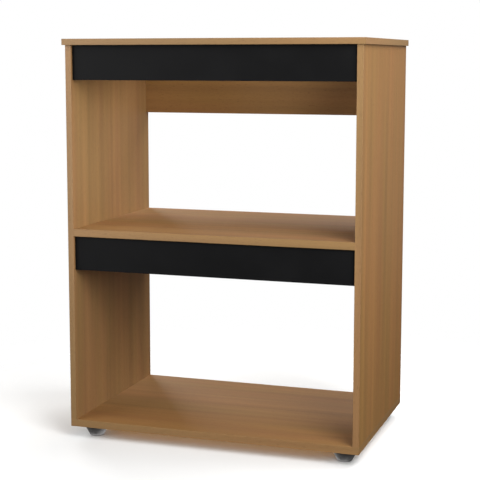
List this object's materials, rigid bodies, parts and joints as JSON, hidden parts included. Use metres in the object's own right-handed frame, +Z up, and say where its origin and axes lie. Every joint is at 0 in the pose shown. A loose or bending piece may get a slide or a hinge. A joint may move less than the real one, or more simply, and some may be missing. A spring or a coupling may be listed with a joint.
{
  "type": "oven base cabinet",
  "caption": "Open flat-pack oven base cabinet: worktop with a hob cut-out, two open appliance niches, fixed black fascias and conical feet.",
  "frame": {"origin": "on the floor, below the middle of the worktop", "axes": "+Z up; the open front faces -Y; +X is to the right seen from the front"},
  "size_m": [0.75, 0.487, 0.994],
  "materials": {
    "wood_print_board": "particle board faced with satin wood-print melamine",
    "wood_print_edge_band": "PVC edge band with the same wood print",
    "black_board": "particle board faced with matt black melamine",
    "black_edge_band": "matt black PVC edge band",
    "foot_plastic": "moulded polypropylene with a fine grain",
    "cam_zinc": "die-cast zinc",
    "fitting_steel": "yellow zinc-plated steel",
    "dowel_beech": "turned beech"
  },
  "bodies": {
    "root": {"top_panel": "wood_print_board", "left_side_panel": "wood_print_board", "right_side_panel": "wood_print_board", "middle_shelf": "wood_print_board", "bottom_panel": "wood_print_board", "upper_fascia": "black_board", "lower_fascia": "black_board", "upper_back_rail": "wood_print_board", "middle_back_rail": "wood_print_board", "top_front_edge_band": "wood_print_edge_band", "top_left_edge_band": "wood_print_edge_band", "top_right_edge_band": "wood_print_edge_band", "left_side_edge_band": "wood_print_edge_band", "right_side_edge_band": "wood_print_edge_band", "shelf_edge_band": "wood_print_edge_band", "bottom_front_edge_band": "wood_print_edge_band", "bottom_left_edge_band": "wood_print_edge_band", "bottom_right_edge_band": "wood_print_edge_band", "upper_fascia_edge_band": "black_edge_band", "lower_fascia_edge_band": "black_edge_band", "upper_rail_edge_band": "wood_print_edge_band", "middle_rail_edge_band": "wood_print_edge_band", "front_left_foot": "foot_plastic", "front_right_foot": "foot_plastic", "rear_left_foot": "foot_plastic", "rear_right_foot": "foot_plastic", "foot_screws": "fitting_steel", "top_cams": "cam_zinc", "top_cam_bolts": "fitting_steel", "top_dowels": "dowel_beech", "shelf_cams": "cam_zinc", "shelf_cam_bolts": "fitting_steel", "shelf_dowels": "dowel_beech", "upper_fascia_cams": "cam_zinc", "upper_fascia_cam_bolts": "fitting_steel", "upper_fascia_dowels": "dowel_beech", "lower_fascia_cams": "cam_zinc", "lower_fascia_cam_bolts": "fitting_steel", "lower_fascia_dowels": "dowel_beech", "upper_rail_cams": "cam_zinc", "upper_rail_cam_bolts": "fitting_steel", "upper_rail_dowels": "dowel_beech", "middle_rail_cams": "cam_zinc", "middle_rail_cam_bolts": "fitting_steel", "middle_rail_dowels": "dowel_beech", "bottom_panel_screws": "fitting_steel", "bottom_panel_dowels": "dowel_beech"}
  },
  "joints": []
}
